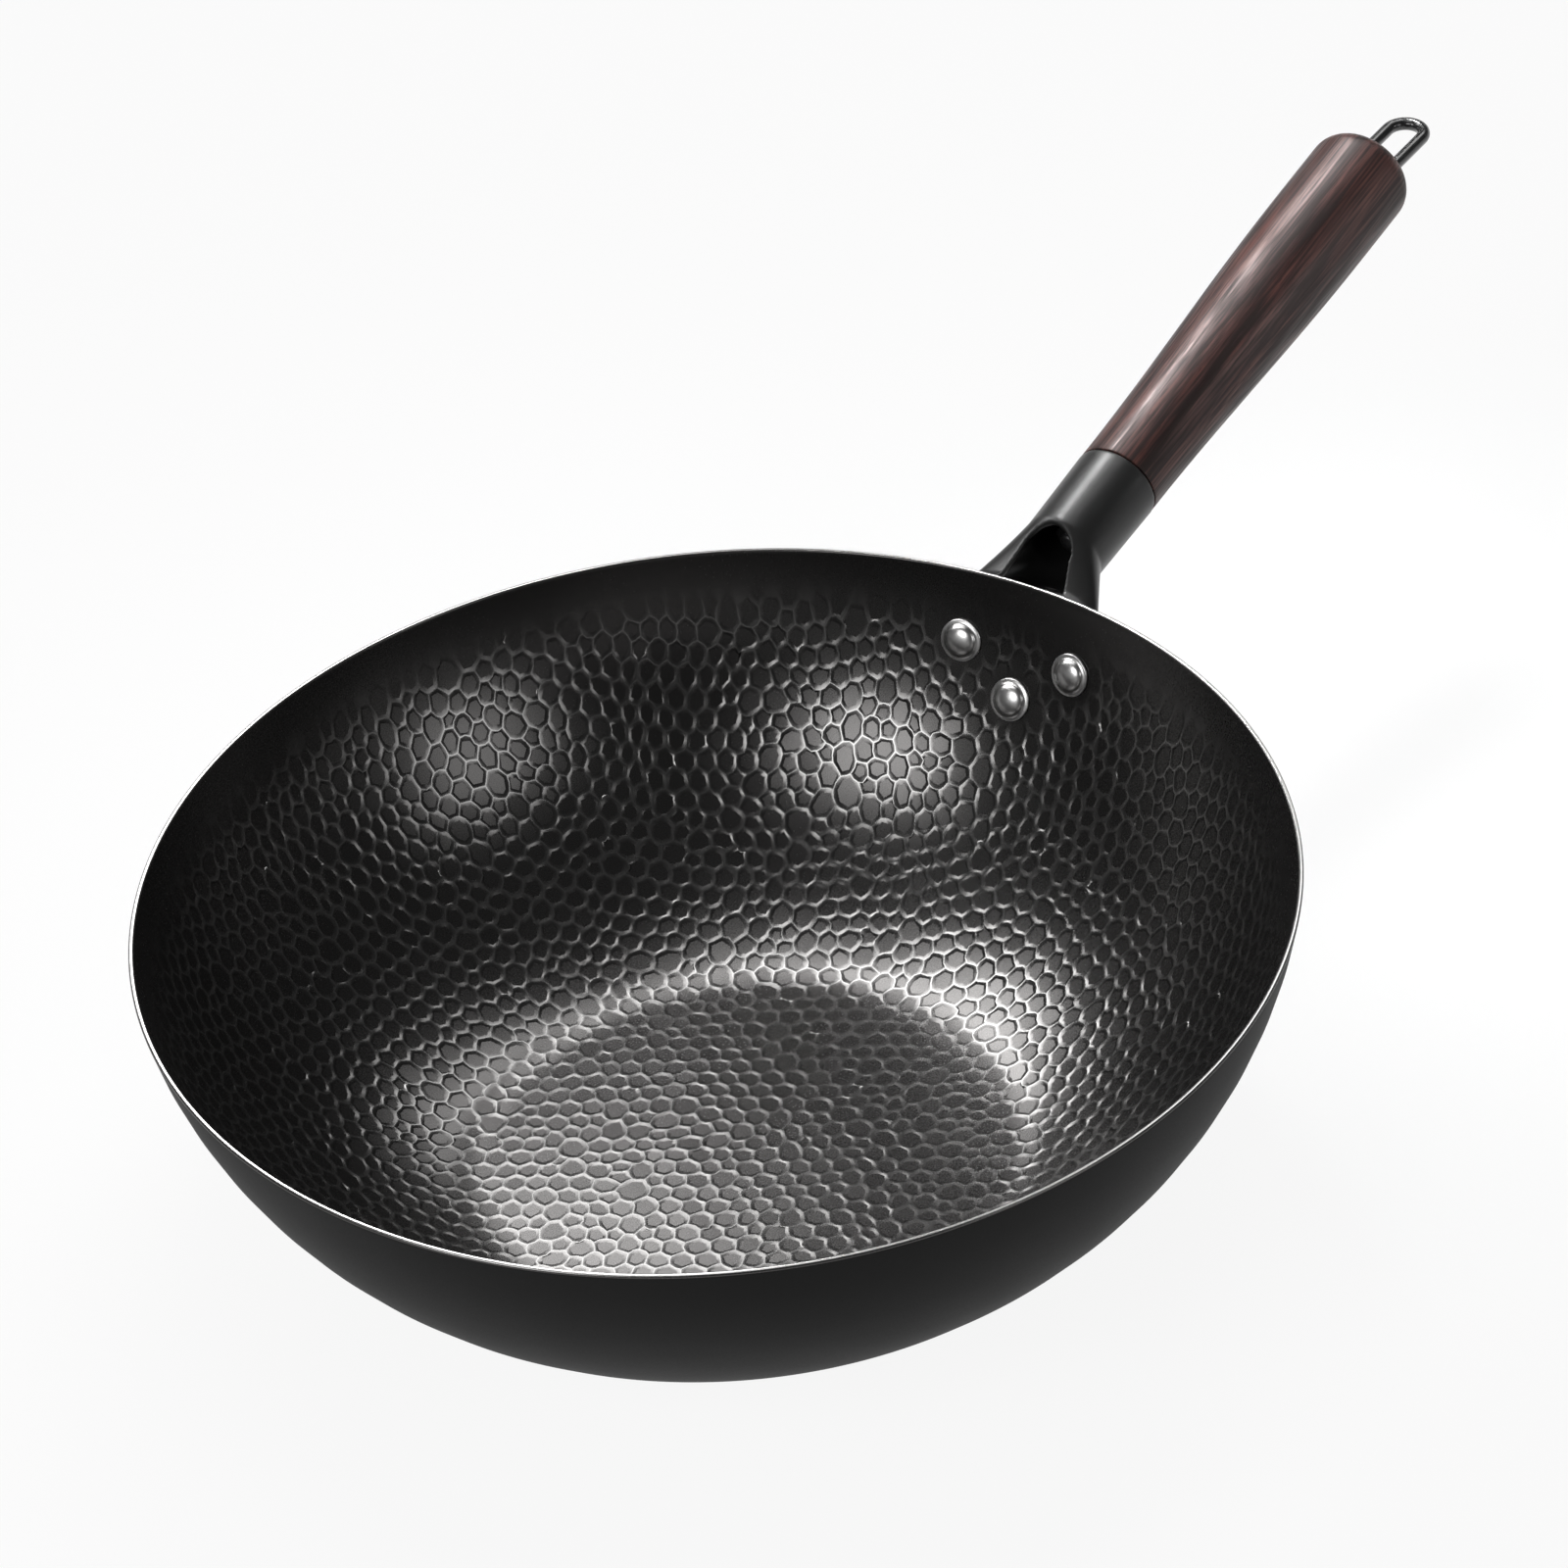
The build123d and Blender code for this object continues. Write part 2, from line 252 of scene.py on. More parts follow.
def section(distance, skin=0.0):
    """Radius, height and slope at a distance along the inner section; skin moves out through the sheet."""
    rim_slope = math.acos((wall_centre[1] - bowl_height) / (inner_wall + skin))
    blend_length, wall_length = blend_radius * blend_slope, inner_wall * (rim_slope - blend_slope)
    marks = np.cumsum([0, floor_radius, blend_length, wall_length])
    slope = np.interp(distance, marks, [0, 0, blend_slope, rim_slope])
    in_wall = np.asarray(distance) > marks[2]
    radius = np.where(in_wall, wall_centre[0] + (inner_wall + skin) * np.sin(slope),
                      np.minimum(distance, floor_radius) + (blend_radius + skin) * np.sin(slope))
    height = np.where(in_wall, wall_centre[1] - (inner_wall + skin) * np.cos(slope),
                      blend_height - (blend_radius + skin) * np.cos(slope))
    return radius, height, slope, marks[3]


rim_distance = float(section(0.0)[3])
print("floor radius", floor_radius, "run from centre to rim", rim_distance, "height", bowl_height)

# %% [markdown]
# ## The hammered pattern
# Such a bowl is pressed from a flat blank that already carries the pattern. Pressing keeps the sheet's
# area, so a spot of the blank at radius b ends where the bowl's surface inside it has the same area:
# b squared is twice the integral of radius over the section. Even cells then come out a little narrow
# and tall on the wall, as they do on the real wok.
#
# The cells are what a net of neighbouring points makes. A jittered honeycomb is joined into triangles,
# the middle of each triangle becomes a corner where three ridges meet, and each point the floor of a
# dimple. A displacement map would need a far finer mesh; here the mesh's own edges follow the ridges.

# %% Blank to bowl
pitch = 6.35 * MM
pattern_top = rim_distance - 9 * MM
jitter, rounds_of_relaxing, relaxing_share = 0.34, 3, 0.5
edge_gap, touching, run_steps = 0.7 * pitch, 1e-9, 4000

run = np.linspace(0, rim_distance, run_steps)
run_radius = section(run)[0]
run_blank = np.sqrt(np.concatenate([[0], np.cumsum((run_radius[1:] + run_radius[:-1]) * np.diff(run))]))
blank_edge = float(np.interp(pattern_top, run, run_blank))
rim_cells = round(2 * math.pi * blank_edge / pitch)
print("blank radius at the pattern's top", blank_edge, "cells round it", rim_cells)

# %% Points of the honeycomb
pattern_seed = 7
chance = np.random.default_rng(pattern_seed)
row_step = pitch * math.sqrt(0.75)
row_reach, column_reach = math.ceil(blank_edge / row_step), math.ceil(blank_edge / pitch)
rows = np.arange(-row_reach, row_reach + 1)[:, None]
columns = np.arange(-column_reach - 1, column_reach + 1)
across_rows = (columns + 0.5 * (rows % 2)) * pitch
honeycomb = np.stack(np.broadcast_arrays(across_rows, rows * row_step), -1).reshape(-1, 2)
honeycomb = honeycomb + chance.uniform(-jitter, jitter, honeycomb.shape) * pitch
honeycomb = honeycomb[np.hypot(*honeycomb.T) < blank_edge - edge_gap]
edge_ring = blank_edge * circle_of(even_turns(rim_cells), (1, 0), (0, 1))


def triangles_between(points):
    """Triangles that join the points, each anticlockwise, as an array of point numbers."""
    found = delaunay_2d_cdt([Vector(p) for p in points.tolist()], [], [], 0, touching)
    source = np.array([ids[0] for ids in found[3]])
    corners = source[np.array(found[2])]
    a, b, c = (points[corners[:, k]] for k in range(3))
    area = (b - a)[:, 0] * (c - a)[:, 1] - (b - a)[:, 1] * (c - a)[:, 0]
    return np.where(area[:, None] > 0, corners, corners[:, ::-1])


for relaxing in range(rounds_of_relaxing):
    everything = np.concatenate([honeycomb, edge_ring])
    corners = triangles_between(everything)
    middles = everything[corners].mean(axis=1)
    total, count = np.zeros_like(everything), np.zeros(len(everything))
    for k in range(3):
        np.add.at(total, corners[:, k], middles)
        np.add.at(count, corners[:, k], 1)
    honeycomb += relaxing_share * ((total / count[:, None])[: len(honeycomb)] - honeycomb)
cells = np.concatenate([honeycomb, edge_ring])
corners = triangles_between(cells)
print(len(honeycomb), "dimples,", len(corners), "ridge corners")

# %% [markdown]
# Each triangle has three sides and three points, so everything around a dimple can be kept in arrays
# of triangle by three. A side's twin in the next triangle is found by sorting the sides: the two that
# join the same points end up next to each other. A dimple then has, from its rim inwards, the ridge's
# crest, a shoulder, a foot and its middle. The ridge is narrow and nearly level on top, its sides are
# steep, and the floor of the dimple is almost flat, so the foot is kept as a crease.

# %% Net of ridges
crest_height, shoulder_height, foot_height, middle_height = 0.12 * MM, 0.09 * MM, -0.08 * MM, -0.10 * MM
shoulder_inset, foot_inset = 0.28 * MM, 0.85 * MM
corner_rounding, deepest_inset, shoulder_wear_and_sheen = 1.5, 0.8, 0.3
crest_wobble, corner_wobble, tilt = 0.05, 0.03, 0.012
depth_range, corner_range, side_range = (0.7, 1.3), (0.85, 1.15), (0.7, 1.0)

inner_count = len(honeycomb)
starts, ends = corners, np.roll(corners, -1, axis=1)
key = (np.minimum(starts, ends) * len(cells) + np.maximum(starts, ends)).ravel()
order = np.argsort(key, kind="stable")
paired = key[order][1:] == key[order][:-1]
twin = np.full(key.size, -1)
twin[order[1:][paired]] = order[:-1][paired]
twin[order[:-1][paired]] = order[1:][paired]
side_edge = np.unique(key, return_inverse=True)[1].reshape(key.shape)
edge_side = np.zeros(side_edge.max() + 1, int)
edge_side[side_edge] = np.arange(key.size)

triangle_of = np.arange(key.size) // 3
corner_points = cells[corners].mean(axis=1) + chance.normal(0, corner_wobble, (len(corners), 2)) * pitch
edge_twin = twin[edge_side]
open_edge = edge_twin < 0
here, there = corner_points[triangle_of[edge_side]], corner_points[triangle_of[edge_twin]]
edge_points = (here + there) / 2 + chance.normal(0, crest_wobble, here.shape) * pitch
open_side = edge_side[open_edge]
open_middle = (cells[starts.ravel()[open_side]] + cells[ends.ravel()[open_side]]) / 2
edge_points[open_edge] = open_middle / np.linalg.norm(open_middle, axis=1)[:, None] * blank_edge

# %% Points from the crest to the middle of each dimple
def inset(points, middles, distance):
    """Each point moved a distance towards the middle of its dimple, but at most deepest_inset of the way."""
    towards = middles - points
    length = np.linalg.norm(towards, axis=1)[:, None]
    return points + towards / length * np.minimum(distance, deepest_inset * length)


own_cell = starts.ravel()
own_middle = cells[own_cell]
own_corner = np.repeat(corner_points, 3, axis=0)
own_side = edge_points[side_edge]
shoulder = inset(own_corner, own_middle, shoulder_inset * corner_rounding)
shoulder_side = inset(own_side, own_middle, shoulder_inset)
foot = inset(own_corner, own_middle, foot_inset * corner_rounding)

blank_points = np.concatenate([cells, corner_points, edge_points, shoulder, shoulder_side, foot])
at_corner = len(cells)
at_edge = at_corner + len(corner_points)
at_shoulder = at_edge + len(edge_points)
at_shoulder_side = at_shoulder + key.size
at_foot = at_shoulder_side + key.size
depth = chance.uniform(*depth_range, len(cells))
lean = chance.normal(0, tilt, (len(cells), 2))
relief = np.concatenate([
    middle_height * depth,
    crest_height * chance.uniform(*corner_range, len(corner_points)),
    crest_height * chance.uniform(*side_range, len(edge_points)),
    np.full(2 * key.size, shoulder_height),
    foot_height * depth[own_cell] + ((foot - own_middle) * lean[own_cell]).sum(axis=1),
])
# ridge is 1 on the crests and a share on the shoulders; the material paints these paler, partly as wear and
# partly as painted sheen
ridge = np.concatenate([
    np.zeros(len(cells)),
    np.ones(len(corner_points) + len(edge_points)),
    np.full(2 * key.size, shoulder_wear_and_sheen),
    np.zeros(key.size),
])

# %% Faces of the net
side = np.arange(key.size)
inside = own_cell < inner_count
has_twin = twin >= 0
whole = side[inside]
across = twin[whole]
next_slot = across // 3 * 3 + (across % 3 + 1) % 3
crest, mid_crest = at_corner + triangle_of, at_edge + side_edge
crest_here, crest_side, crest_next = crest[whole], mid_crest[whole], crest[across]
shoulder_here, shoulder_next = at_shoulder + whole, at_shoulder + next_slot
shoulder_mid = at_shoulder_side + whole
foot_here, foot_next = at_foot + whole, at_foot + next_slot
dimple = own_cell[whole]
print("sides round whole dimples:", len(whole), "of", key.size)

net_quads = np.concatenate([
    np.stack([crest_here, crest_side, shoulder_mid, shoulder_here], 1),
    np.stack([crest_side, crest_next, shoulder_next, shoulder_mid], 1),
])
net_triangles = np.concatenate([
    np.stack([shoulder_here, shoulder_mid, foot_here], 1),
    np.stack([shoulder_mid, foot_next, foot_here], 1),
    np.stack([shoulder_mid, shoulder_next, foot_next], 1),
    np.stack([foot_here, foot_next, dimple], 1),
])
brink = side[~inside & has_twin]
outermost = side[~inside & ~has_twin]
ring_start, ring_end = own_cell[outermost], ends.ravel()[outermost]
brink_triangles = np.concatenate([
    np.stack([crest[brink], mid_crest[brink], own_cell[brink]], 1),
    np.stack([mid_crest[brink], crest[twin[brink]], own_cell[brink]], 1),
    np.stack([crest[outermost], mid_crest[outermost], ring_start], 1),
    np.stack([crest[outermost], ring_end, mid_crest[outermost]], 1),
])

# %% [markdown]
# The relief fades out below the rim, where the real sheet was held in the press, and around the
# rivets, where it was struck flat. On the floor the press has pushed it down a little. Then the flat
# net is laid into the bowl: a blank radius gives a distance along the section, that gives a place and a
# slope, and the relief is added at right angles to the surface.

# %% Seats of the rivets on the wall
rivet_upper_drop, rivet_lower_drop, rivet_spacing = 21.7 * MM, 34.3 * MM, 37.6 * MM


def wall_seat(drop, across):
    """The outer wall's place at a drop below the rim and a distance across, and the way out there."""
    height = bowl_height - drop
    slope = math.acos((wall_centre[1] - height) / wall_radius)
    radius = wall_centre[0] + wall_radius * math.sin(slope)
    turn = math.asin(across / radius)
    place = Vector((radius * math.cos(turn), radius * math.sin(turn), height))
    out = Vector((math.sin(slope) * math.cos(turn), math.sin(slope) * math.sin(turn), -math.cos(slope)))
    return place, out


rivets = {
    "rivet_left": wall_seat(rivet_upper_drop, rivet_spacing / 2),
    "rivet_right": wall_seat(rivet_upper_drop, -rivet_spacing / 2),
    "rivet_lower": wall_seat(rivet_lower_drop, 0.0),
}
for name, (place, out) in rivets.items():
    low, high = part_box(name)
    print(name, "is", round(((low + high) / 2 - place).length / MM, 2), "mm from the middle of its node")

# %% Lay the net into the bowl
relief_end, relief_start = 10 * MM, 27 * MM
floor_share, floor_to_wall = 0.6, 30 * MM
rivet_clear, rivet_fade = 7.5 * MM, 5 * MM


def smooth_step(low, high, value):
    """0 below low, 1 above high, and 3 t squared minus 2 t cubed between."""
    t = np.clip((value - low) / (high - low), 0, 1)
    return t * t * (3 - 2 * t)


def bowl_points(distance, turn, lift, skin=0.0):
    """Points of the bowl at a distance and a turn, lifted at right angles to the inner surface."""
    radius, height, slope, _ = section(distance, skin)
    radius, height = radius - lift * np.sin(slope), height + lift * np.cos(slope)
    return np.stack([radius * np.cos(turn), radius * np.sin(turn), height + 0 * turn], axis=-1)


distance = np.interp(np.hypot(*blank_points.T), run_blank, run)
turn = np.arctan2(blank_points[:, 1], blank_points[:, 0])
fade = smooth_step(relief_end, relief_start, rim_distance - distance)
off_floor = smooth_step(floor_radius, floor_radius + floor_to_wall, distance)
fade = fade * (floor_share + (1 - floor_share) * off_floor)
flat_points = bowl_points(distance, turn, 0.0)
for place, out in rivets.values():
    from_axis = np.linalg.norm(np.cross(flat_points - np.array(place), np.array(out)), axis=1)
    near_side = flat_points @ np.array(out) > 0
    fade = fade * np.where(near_side, smooth_step(rivet_clear, rivet_clear + rivet_fade, from_axis), 1)
net_points = bowl_points(distance, turn, relief * fade)
ridge = ridge * fade
print("highest relief", (relief * fade).max() / MM, "mm, lowest", (relief * fade).min() / MM, "mm")

# %% [markdown]
# The rest of the bowl is a grid of rings: the plain band below the rim, the rim's rounded edge, the
# outside wall and the base. Its first row is the outer ring of the net, sorted by angle, so the two
# parts share those points and the shell is closed.

# %% Band, rim, outside and base
band_steps, outside_steps, blend_steps, lip_steps, base_ring = 4, 13, 6, 5, 0.6
lip_start, blend_end = rim_distance - 2 * rim_edge, floor_radius + blend_radius * blend_slope

ring_numbers = np.concatenate([ring_start, mid_crest[outermost]])
ring_numbers = ring_numbers[np.argsort(turn[ring_numbers])]
ring_turn = turn[ring_numbers]
ring_columns = len(ring_turn)

band_run = np.linspace(pattern_top, lip_start, band_steps)[1:]
outside_run = np.concatenate([
    np.linspace(lip_start, blend_end, outside_steps),
    np.linspace(blend_end, floor_radius, blend_steps)[1:],
    [floor_radius * base_ring],
])
rim_corners = [
    section(lip_start)[:2],
    (section(rim_distance)[0], bowl_height),
    (rim_radius, bowl_height),
    section(lip_start, sheet)[:2],
]
rim_profile = rounded(rim_corners, [rim_edge, rim_edge], lip_steps)[1:-1]
rim_rows = np.stack([
    rim_profile[:, :1] * np.cos(ring_turn), rim_profile[:, :1] * np.sin(ring_turn),
    np.broadcast_to(rim_profile[:, 1:], (len(rim_profile), ring_columns)),
], axis=-1)
band_rows = bowl_points(band_run[:, None], ring_turn[None], 0.0)
outside_rows = bowl_points(outside_run[:, None], ring_turn[None], 0.0, skin=sheet)
ring_rows = np.concatenate([band_rows, rim_rows, outside_rows])
lip_middle = len(band_run) + len(rim_rows) // 2
bare = np.zeros(len(ring_rows))
bare[lip_middle - 1: lip_middle + 2] = 1

# %% Join the bowl
first_ring = len(net_points)
bowl_all = np.concatenate([net_points, ring_rows.reshape(-1, 3), np.zeros((1, 3))])
last_row = np.arange(len(bowl_all) - 1 - ring_columns, len(bowl_all) - 1)
bowl = new_piece(
    "hammered_bowl", bowl_all, net_quads, net_triangles, brink_triangles,
    strip(ring_numbers, first_ring + np.arange(ring_columns)),
    strips(len(ring_rows), ring_columns, first_ring),
    fan(len(bowl_all) - 1, last_row),
)
for name, values in {
    "ridge": np.concatenate([ridge, np.zeros(len(bowl_all) - first_ring)]),
    "bare": np.concatenate([np.zeros(first_ring), np.repeat(bare, ring_columns), [0]]),
}.items():
    layer = bowl.data.attributes.new(name, "FLOAT", "POINT")
    layer.data.foreach_set("value", values.astype(np.float32))
ends_of_edges = np.empty(2 * len(bowl.data.edges), np.int32)
bowl.data.edges.foreach_get("vertices", ends_of_edges)
crease = ((ends_of_edges >= at_foot) & (ends_of_edges < first_ring)).reshape(-1, 2).all(axis=1)
bowl.data.attributes.new("sharp_edge", "BOOLEAN", "EDGE").data.foreach_set("value", crease)
print("creased edges:", crease.sum())
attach(bowl, "wok")
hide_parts("wok_bowl")

# %% [markdown]
# ## Rivets
# A rivet of this kind has a flat brim with a dome rising from its middle. Inside the bowl the brim and
# the dome are polished by the tool that held them, and outside the flange the other end was struck
# into a low button. One turned profile does it, with every edge rounded.

# %% Rivet
shank, brim, brim_thickness = 3.0 * MM, 6.4 * MM, 0.7 * MM
dome, dome_height, tail, tail_height = 4.8 * MM, 2.5 * MM, 5.0 * MM, 2.2 * MM
flange, seat_gap = 2.2 * MM, 0.05 * MM
rivet_fillets = [0.2 * MM, 0.2 * MM, 0.25 * MM, 0.35 * MM]
arch_steps, rivet_columns = 9, 48


def rivet_arc(foot, rise, radius):
    """A quarter of an ellipse, from its top to its edge: (foot + rise * cosine, radius * sine)."""
    arch = np.linspace(0, math.pi / 2, arch_steps)[:, None]
    return np.hstack([foot + rise * np.cos(arch), radius * np.sin(arch)])


tail_foot = flange + 2 * seat_gap
brim_top = -sheet - brim**2 / (2 * inner_wall) - seat_gap
dome_foot = brim_top - brim_thickness
tail_arc = rivet_arc(tail_foot, tail_height, tail)
dome_arc = rivet_arc(dome_foot, brim_thickness - dome_height, dome)[::-1]
between = rounded([
    tail_arc[-1], (tail_foot, shank), (brim_top, shank), (brim_top, brim), (dome_foot, brim), dome_arc[0],
], rivet_fillets)[1:-1]
rivet_profile = np.concatenate([tail_arc, between, dome_arc])

for name, (place, out) in rivets.items():
    side_way = Vector((0, 1, 0)).cross(out).normalized()
    piece = lathe(
        name.replace("rivet", "polished_rivet"), rivet_profile, place, out, side_way, rivet_columns)
    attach(piece, "wok")
    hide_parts(name)

# %% [markdown]
# ## Bracket
# The real bracket is steel with soft, blasted edges, where the legs run into the flange without a
# line. The frame's node has the right shape but sharp edges, so the visual piece starts as a copy of
# it. The copy is turned into one even skin of small faces, and a few rounds of smoothing melt the
# edges by about half a millimetre.

# %% Bracket
skin_size, smoothing, smoothing_rounds = 0.5 * MM, 0.5, 4

bracket = frame["nodes"]["handle_bracket"].copy()
bracket.name, bracket.parent = "soft_bracket", None
for label in [label for label in bracket.keys() if label.startswith("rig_")]:
    del bracket[label]
scene.collection.objects.link(bracket)
weld = bracket.modifiers.new("weld", "WELD")
weld.merge_threshold = skin_size / 100
even = bracket.modifiers.new("even", "REMESH")
even.mode, even.voxel_size, even.use_smooth_shade = "VOXEL", skin_size, True
soft = bracket.modifiers.new("soft", "SMOOTH")
soft.factor, soft.iterations = smoothing, smoothing_rounds
skin_mesh = bpy.data.meshes.new_from_object(bracket.evaluated_get(bpy.context.evaluated_depsgraph_get()))
bracket.modifiers.clear()
bracket.data = skin_mesh
skin_mesh.name = "soft_bracket"
skin_mesh.shade_smooth()
print("soft_bracket -", len(skin_mesh.vertices), "points,", len(skin_mesh.polygons), "faces")
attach(bracket, "wok")
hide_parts("handle_bracket")

# %% [markdown]
# ## Grip
# The grip is turned on a lathe: waist at the bracket, belly at the palm, a round shoulder and a flat
# end with a slot for the loop. Rings do all of it. Along the side they are circles, and over the end
# each ring is a blend between the last circle and the slot's outline, slid along the shoulder's
# surface, so the slot's lip can be rounded without cutting one mesh with another.

# %% Handle line
handle_rise = math.radians(9.9)
handle_drop = 4.4 * MM
along = direction(0, handle_rise)
upwards = Vector((-math.sin(handle_rise), 0, math.cos(handle_rise)))
sideways = Vector((0, 1, 0))
handle_origin = Vector((rim_radius, 0, bowl_height - handle_drop))
handle_axes = np.array([along, sideways, upwards])


def on_handle(local):
    """Points given as (along, sideways, upwards) from the handle's origin, in the frame."""
    return np.array(handle_origin) + np.asarray(local) @ handle_axes


def round_handle(place, radius, turns):
    """Points round the handle's line: a place along it, and a radius times the turn's cosine and sine."""
    return on_handle(np.stack(np.broadcast_arrays(place, radius * np.cos(turns), radius * np.sin(turns)), -1))


# %% Grip's sizes
sleeve_end, seam_gap = 50.5 * MM, 0.3 * MM
grip_end, tenon_end = 202.3 * MM, 36.3 * MM
tenon_radius, waist, belly, palm, end_flat = 10.6 * MM, 13.0 * MM, 14.3 * MM, 16.09 * MM, 8.5 * MM
middle_share, palm_share = 0.36, 0.86
end_shoulder = palm - end_flat
grip_start = sleeve_end + seam_gap
grip_length = grip_end - grip_start
side_share = 1 - end_shoulder / grip_length
wire, loop_half_width, loop_length, loop_corner = 1.99 * MM, 5.9 * MM, 36.5 * MM, 3.0 * MM
loop_droop, pivot_depth = math.radians(8.5), 9.0 * MM
room_beside, room_above, room_behind, slot_lip = 0.5 * MM, 0.25 * MM, 1.6 * MM, 0.5 * MM
slot_half_length = loop_half_width + wire + room_beside
slot_half_height = pivot_depth * math.tan(loop_droop) + wire / math.cos(loop_droop) + room_above
slot_depth = pivot_depth + wire + room_behind
slot_squareness = 7


def grip_radius(share):
    """Radius at a share of the grip's length: the quintic through four radii, level at both its ends."""
    places = np.array([0, middle_share, palm_share, side_share])
    powers = np.arange(6)
    level = powers * places[[0, -1], None] ** np.maximum(powers - 1, 0)
    rows_of = np.concatenate([places[:, None] ** powers, level])
    weights = np.linalg.solve(rows_of, np.array([waist, belly, palm, palm, 0, 0]))
    return np.asarray(share)[..., None] ** powers @ weights


def slot_outline(turns, grow):
    """Radius of the slot's outline at each turn: a superellipse, almost a rounded rectangle."""
    wide, tall, power = slot_half_length + grow, slot_half_height + grow, slot_squareness
    return (np.abs(np.cos(turns) / wide) ** power + np.abs(np.sin(turns) / tall) ** power) ** (-1 / power)


# %% Grip
grip_columns, side_rings, end_rings, lip_angles, wall_depths = 160, 60, 22, [30, 60, 90], [0.5, 1.0]
face_middle, front_fillets = 0.2 * MM, [0.6 * MM, 0.2 * MM, 0.35 * MM]

grip_turns = even_turns(grip_columns)
shares = np.linspace(0, side_share, side_rings)
side_profile = np.stack([grip_start + shares * grip_length, grip_radius(shares)], 1)
front = rounded([
    (tenon_end, face_middle), (tenon_end, tenon_radius), (grip_start, tenon_radius), (grip_start, waist),
    side_profile[1],
], front_fillets)[:-1]
turned_profile = np.concatenate([front, side_profile[1:]])


def end_surface(arc):
    """(along, radius) at a run over the end from its middle: flat, then the shoulder's quarter circle."""
    bend = np.clip((arc - end_flat) / end_shoulder, 0, math.pi / 2)
    radius = np.minimum(arc, end_flat) + end_shoulder * np.sin(bend)
    return grip_end - end_shoulder * (1 - np.cos(bend)), radius


def all_round(values):
    """A value for each ring, repeated all round the grip."""
    return np.repeat(np.asarray(values)[:, None], grip_columns, axis=1)


lip_radius = slot_outline(grip_turns, slot_lip)
lip_arc = end_flat + end_shoulder * np.arcsin(np.maximum(lip_radius - end_flat, 0) / end_shoulder)
lip_arc = np.where(lip_radius < end_flat, lip_radius, lip_arc)
full_arc = end_flat + end_shoulder * math.pi / 2
end_shares = np.linspace(0, 1, end_rings)[1:, None]
end_along, end_radius = end_surface(full_arc * (1 - end_shares) + lip_arc * end_shares)
lip_along, _ = end_surface(lip_arc)
lip_bend = np.radians(lip_angles)[:, None]
bend_along = lip_along - slot_lip * (1 - np.cos(lip_bend))
slot_radius = slot_outline(grip_turns, 0)
bend_radius = slot_radius + slot_lip * (1 - np.sin(lip_bend))
wall_along = grip_end - slot_depth * np.array(wall_depths)

ring_along = np.concatenate([all_round(turned_profile[:, 0]), end_along, bend_along, all_round(wall_along)])
ring_radius = np.concatenate([
    all_round(turned_profile[:, 1]), end_radius, bend_radius, np.tile(slot_radius, (len(wall_depths), 1)),
])
grip_poles = on_handle([(tenon_end, 0, 0), (grip_end - slot_depth, 0, 0)])
grip = capped("turned_grip", round_handle(ring_along, ring_radius, grip_turns), grip_poles)
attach(grip, "wok")
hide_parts("wood_grip")

# %% [markdown]
# ## Hanging loop
# The loop is one length of wire, bent round a former and closed. A circle is carried along the path:
# at each point of the path it stands square to it, spanned by the loop's own plane and the plane's
# upright. The path lies flat, so the upright is the same everywhere and the tube can't twist.

# %% Loop's path
pivot = handle_origin + along * (grip_end - pivot_depth)
loop_rise = handle_rise - loop_droop
loop_along = direction(0, loop_rise)
loop_up = Vector((-math.sin(loop_rise), 0, math.cos(loop_rise)))


def arc_points(centre, radius, start, end, steps):
    """An arc in the loop's plane, centre + radius * (cos, sin), without the point at its end."""
    angle = np.linspace(math.radians(start), math.radians(end), steps, endpoint=False)[:, None]
    return np.array(centre) + radius * np.hstack([np.cos(angle), np.sin(angle)])


straight_steps, bend_steps, bow_steps, wire_columns = 7, 10, 28, 28
bend_place, bow_place = loop_corner, loop_length - loop_half_width
straight = np.linspace(bend_place, bow_place, straight_steps, endpoint=False)[:, None]
corner_side = loop_half_width - loop_corner
loop_path = np.concatenate([
    arc_points((bend_place, corner_side), loop_corner, 180, 90, bend_steps),
    np.hstack([straight, np.full_like(straight, loop_half_width)]),
    arc_points((bow_place, 0), loop_half_width, 90, -90, bow_steps),
    np.hstack([straight[::-1] + straight[1] - straight[0], np.full_like(straight, -loop_half_width)]),
    arc_points((bend_place, -corner_side), loop_corner, 270, 180, bend_steps),
    [[0, -corner_side], [0, 0]],
])

# %% Loop
ahead = np.roll(loop_path, -1, axis=0) - np.roll(loop_path, 1, axis=0)
ahead = ahead / np.linalg.norm(ahead, axis=1)[:, None]
outwards = np.stack([-ahead[:, 1], ahead[:, 0]], axis=1)
wire_turns = even_turns(wire_columns)
loop_plane = np.array([loop_along, sideways])
ring_middle = np.array(pivot) + loop_path @ loop_plane
ring_side = (outwards @ loop_plane)[:, None, :] * np.cos(wire_turns)[:, None]
ring_up = np.array(loop_up) * np.sin(wire_turns)[:, None]
loop_rings = ring_middle[:, None, :] + wire * (ring_side + ring_up)
loop = new_piece("wire_loop", loop_rings.reshape(-1, 3), strips(len(loop_path), wire_columns, closed=True))
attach(loop, "loop")
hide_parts("hanging_loop")

# %% [markdown]
# ## Tie rod
# The rod runs through the grip from the loop to the nut behind the arch of the bracket. Its front end
# is threaded: there the radius goes in and out with the distance minus the turn, measured in pitches,
# which is what makes a helix out of a lathe's grid. At the other end a flat-sided eye holds the loop.

# %% Rod
rod_radius, thread_pitch, thread_depth = 3.0 * MM, 1.0 * MM, 0.45 * MM
rod_tip, thread_end, tip_chamfer = 22.6 * MM, 40 * MM, 0.6 * MM
eye_radius, eye_bore, eye_half_width, eye_fillet = 3.3 * MM, 2.1 * MM, 2.5 * MM, 0.3 * MM
rod_columns, rings_in_pitch, plain_rings, eye_columns = 40, 10, 4, 48

